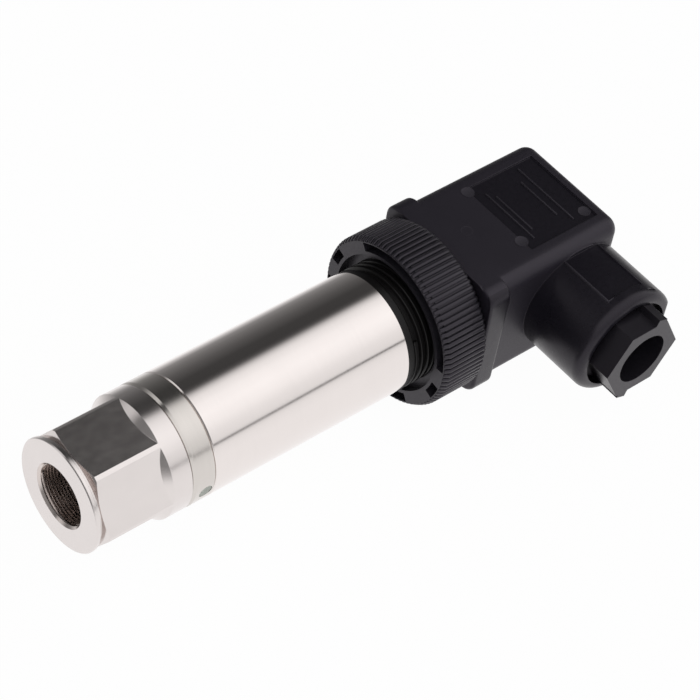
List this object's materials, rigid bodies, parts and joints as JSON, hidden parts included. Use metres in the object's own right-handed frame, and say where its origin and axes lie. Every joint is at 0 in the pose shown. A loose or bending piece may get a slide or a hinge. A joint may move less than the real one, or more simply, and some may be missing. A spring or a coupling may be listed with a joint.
{
  "type": "pressure transmitter",
  "caption": "Stainless industrial pressure transmitter: female threaded port with hexagon, round body, ring nut and right-angle cable plug with gland.",
  "frame": {"origin": "centre of the port's round end face, on the body's axis", "axes": "+X along the body from the port to the plug, +Z the normal of the plug's panelled face, -Y the way the cable leaves the gland"},
  "size_m": [0.1227, 0.0521, 0.0354],
  "materials": {
    "stainless_steel": "satin turned",
    "cell_steel": "fine turned",
    "vent_membrane": "porous",
    "silicon": "polished",
    "gold_plate": "plated",
    "lead_copper": "drawn wire",
    "seal_rubber": "moulded",
    "carrier_plastic": "moulded",
    "board_laminate": "solder mask",
    "chip_epoxy": "moulded",
    "capacitor_case": "moulded",
    "black_plastic": "satin moulded",
    "tinned_brass": "tinned",
    "spring_steel": "rolled",
    "washer_plastic": "moulded",
    "insert_plastic": "moulded",
    "socket_brass": "machined",
    "screw_steel": "zinc plated"
  },
  "bodies": {
    "base": {"port_body": "stainless_steel", "sensor_collar": "stainless_steel", "vent_filter": "vent_membrane", "body_tube": "stainless_steel", "sensor_header": "cell_steel", "diaphragm": "cell_steel", "sensor_chip": "silicon", "header_pin_1": "gold_plate", "header_pin_2": "gold_plate", "header_pin_3": "gold_plate", "header_pin_4": "gold_plate", "sensor_lead_1": "lead_copper", "sensor_lead_2": "lead_copper", "sensor_lead_3": "lead_copper", "sensor_lead_4": "lead_copper", "fill_ball": "cell_steel", "capsule_seal": "seal_rubber", "capsule_retainer": "cell_steel", "board_carrier": "carrier_plastic", "circuit_board": "board_laminate", "converter_chip": "chip_epoxy", "regulator_chip": "chip_epoxy", "surge_diode": "chip_epoxy", "tantalum_capacitor": "capacitor_case", "output_lead_1": "lead_copper", "output_lead_2": "lead_copper", "earth_lead": "lead_copper", "threaded_neck": "black_plastic", "neck_seal": "seal_rubber", "contact_blade_1": "tinned_brass", "contact_blade_2": "tinned_brass", "contact_blade_3": "tinned_brass", "earth_blade": "tinned_brass"},
    "plug": {"plug_housing": "black_plastic", "retaining_ring": "spring_steel", "gland_seal": "seal_rubber", "profile_seal": "seal_rubber", "terminal_block": "insert_plastic", "contact_socket_1": "socket_brass", "contact_socket_2": "socket_brass", "contact_socket_3": "socket_brass", "earth_socket": "socket_brass"},
    "union_nut": {"union_nut": "black_plastic"},
    "gland_washer": {"gland_washer": "washer_plastic"},
    "gland_nut": {"gland_nut": "black_plastic"},
    "terminal_screw_1": {"terminal_screw_1": "screw_steel"},
    "terminal_screw_2": {"terminal_screw_2": "screw_steel"},
    "terminal_screw_3": {"terminal_screw_3": "screw_steel"},
    "terminal_screw_4": {"terminal_screw_4": "screw_steel"}
  },
  "joints": [
    {"name": "plug_lift", "type": "slide", "parent": "base", "child": "plug", "axis": [1, 0, 0], "range_m": [0, 0.0051]},
    {"name": "union_nut_turn", "type": "hinge", "parent": "plug", "child": "union_nut", "pos_m": [0.0813, 0, 0], "axis": [1, 0, 0], "range_deg": [0, 1224]},
    {"name": "gland_washer_slide", "type": "slide", "parent": "plug", "child": "gland_washer", "axis": [0, -1, 0], "range_m": [0, 0.006]},
    {"name": "gland_nut_turn", "type": "hinge", "parent": "gland_washer", "child": "gland_nut", "pos_m": [0.1119, -0.0317, 0], "axis": [0, -1, 0], "range_deg": [0, 1440]},
    {"name": "terminal_screw_1_turn", "type": "hinge", "parent": "plug", "child": "terminal_screw_1", "pos_m": [0.0982, 0.0106, 0], "axis": [0, 1, 0], "range_deg": [0, 360]},
    {"name": "terminal_screw_2_turn", "type": "hinge", "parent": "plug", "child": "terminal_screw_2", "pos_m": [0.0982, -0.0106, 0], "axis": [0, -1, 0], "range_deg": [0, 360]},
    {"name": "terminal_screw_3_turn", "type": "hinge", "parent": "plug", "child": "terminal_screw_3", "pos_m": [0.0982, 0, 0.0106], "axis": [0, 0, 1], "range_deg": [0, 360]},
    {"name": "terminal_screw_4_turn", "type": "hinge", "parent": "plug", "child": "terminal_screw_4", "pos_m": [0.0982, 0, -0.0106], "axis": [0, 0, -1], "range_deg": [0, 360]}
  ],
  "couplings": [
    {"joint": "union_nut_turn", "follows": "plug_lift", "rad_per_m": 4188.8},
    {"joint": "gland_nut_turn", "follows": "gland_washer_slide", "rad_per_m": 4188.8}
  ]
}
